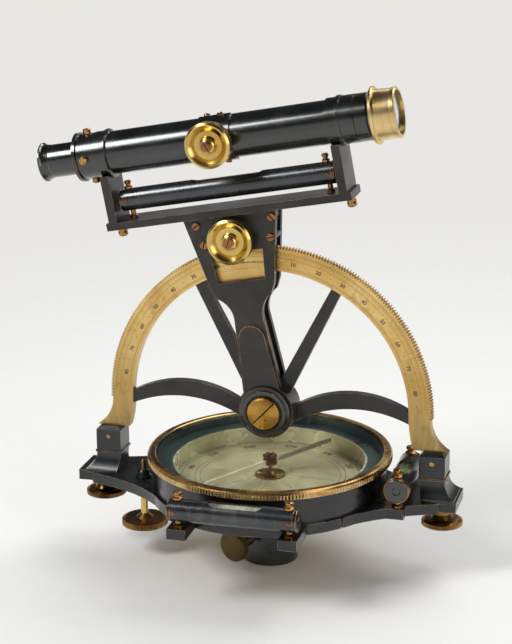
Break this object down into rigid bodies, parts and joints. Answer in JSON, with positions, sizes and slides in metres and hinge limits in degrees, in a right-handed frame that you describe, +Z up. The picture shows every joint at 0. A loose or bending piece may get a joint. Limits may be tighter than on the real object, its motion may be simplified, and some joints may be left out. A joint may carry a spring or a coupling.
{
  "type": "surveying theodolite",
  "caption": "Theodolite with a compass under glass, a toothed upright arc on an open frame, a tilting telescope with its own level, and a socket for a staff.",
  "frame": {"origin": "middle of the socket's flat bottom, on the vertical axis of the instrument", "axes": "+Z up along the vertical spindle, +X along the plane of the upright arc towards the objective, -Y towards the reader of the arc"},
  "size_m": [0.2654, 0.1664, 0.3017],
  "materials": {
    "black_brass": "green-black lacquer over brass, rubbed bronze on the edges",
    "brass": "polished, lightly tarnished",
    "bronze": "worn red-brown brass",
    "gilt": "pale gold wash, brushed",
    "silvered": "silvered and yellowed",
    "steel": "blued and rubbed",
    "glass": "clear",
    "vial_glass": "clear, filled with pale spirit"
  },
  "bodies": {
    "socket_body": {"socket": "black_brass", "azimuth_circle": "brass", "spindle": "steel"},
    "clamp_body": {"socket_clamp_screw": "bronze"},
    "alidade": {"base_plate": "black_brass", "azimuth_bearing": "bronze", "compass_box": "black_brass", "compass_dial": "silvered", "graduated_ring": "silvered", "compass_glass": "glass", "bezel": "bronze", "needle_pivot": "black_brass", "left_pedestal": "black_brass", "right_pedestal": "black_brass", "pedestal_pins": "bronze", "vertical_arc": "gilt", "arc_frame": "black_brass", "front_level_tube": "black_brass", "front_level_vial": "vial_glass", "front_level_caps": "black_brass", "front_level_studs": "bronze", "side_level_tube": "black_brass", "side_level_vial": "vial_glass", "side_level_caps": "black_brass", "side_level_studs": "bronze"},
    "azimuth_drive": {"azimuth_screw": "brass", "azimuth_pinion": "brass"},
    "left_thumb": {"left_thumb_screw": "brass"},
    "right_thumb": {"right_thumb_screw": "brass"},
    "needle_body": {"needle": "steel", "needle_cap": "bronze"},
    "arm": {"arm_front_plate": "black_brass", "arm_rear_plate": "black_brass", "arm_spacers": "black_brass", "arm_screws": "bronze", "vernier": "gilt", "arm_pivot_pin": "brass", "hub_disc": "black_brass", "hub_screw": "brass", "telescope_frame": "black_brass", "frame_nuts": "bronze", "telescope_tube": "black_brass", "focus_saddle": "black_brass", "reticle_ring": "black_brass", "reticle_screws": "bronze", "diaphragm": "black_brass", "telescope_level_tube": "black_brass", "telescope_level_vial": "vial_glass", "telescope_level_caps": "black_brass", "telescope_level_studs": "bronze"},
    "altitude_drive": {"altitude_knob": "brass", "altitude_pinion": "brass"},
    "objective": {"objective_slide": "black_brass", "objective_cell": "brass", "objective_lens": "glass"},
    "focus_drive": {"focus_knob": "brass"},
    "eyepiece": {"eyepiece_tube": "brass", "eyecup": "black_brass", "eyepiece_lens": "glass"}
  },
  "joints": [
    {"name": "staff_clamp_turn", "type": "hinge", "parent": "socket_body", "child": "clamp_body", "pos_m": [0, 0, 0.0185], "axis": [-0.4067, -0.9135, 0], "range_deg": [-1080, 90]},
    {"name": "azimuth_turn", "type": "hinge", "parent": "socket_body", "child": "alidade", "pos_m": [0, 0, 0.0469], "axis": [0, 0, 1], "continuous": true},
    {"name": "azimuth_screw_turn", "type": "hinge", "parent": "alidade", "child": "azimuth_drive", "pos_m": [-0.07954, -0.01175, 0.03], "axis": [0, 0, 1], "continuous": true},
    {"name": "left_thumb_turn", "type": "hinge", "parent": "alidade", "child": "left_thumb", "pos_m": [-0.109, 0, 0.04], "axis": [0, 0, 1], "range_deg": [-1440, 45]},
    {"name": "right_thumb_turn", "type": "hinge", "parent": "alidade", "child": "right_thumb", "pos_m": [0.109, 0, 0.04], "axis": [0, 0, 1], "range_deg": [-1440, 45]},
    {"name": "needle_swing", "type": "hinge", "parent": "alidade", "child": "needle_body", "pos_m": [0, 0, 0.062], "axis": [0, 0, 1], "continuous": true},
    {"name": "altitude_tilt", "type": "hinge", "parent": "alidade", "child": "arm", "pos_m": [0, 0, 0.1], "axis": [0, -1, 0], "range_deg": [-70, 50]},
    {"name": "altitude_knob_turn", "type": "hinge", "parent": "arm", "child": "altitude_drive", "pos_m": [-0.01934, 0, 0.20747], "axis": [0, -1, 0], "range_deg": [-1000, 715]},
    {"name": "objective_rack", "type": "slide", "parent": "arm", "child": "objective", "axis": [0.9842, 0, 0.1771], "range_m": [-0.0015, 0.012]},
    {"name": "focus_knob_turn", "type": "hinge", "parent": "arm", "child": "focus_drive", "pos_m": [-0.02958, 0, 0.26721], "axis": [0, -1, 0], "range_deg": [-29, 230]},
    {"name": "eyepiece_pull", "type": "slide", "parent": "arm", "child": "eyepiece", "axis": [-0.9842, 0, -0.1771], "range_m": [-0.002, 0.002]}
  ],
  "couplings": [
    {"joint": "azimuth_screw_turn", "follows": "azimuth_turn", "ratio": 7.375},
    {"joint": "altitude_knob_turn", "follows": "altitude_tilt", "ratio": 14.167},
    {"joint": "focus_knob_turn", "follows": "objective_rack", "rad_per_m": 333.33}
  ]
}
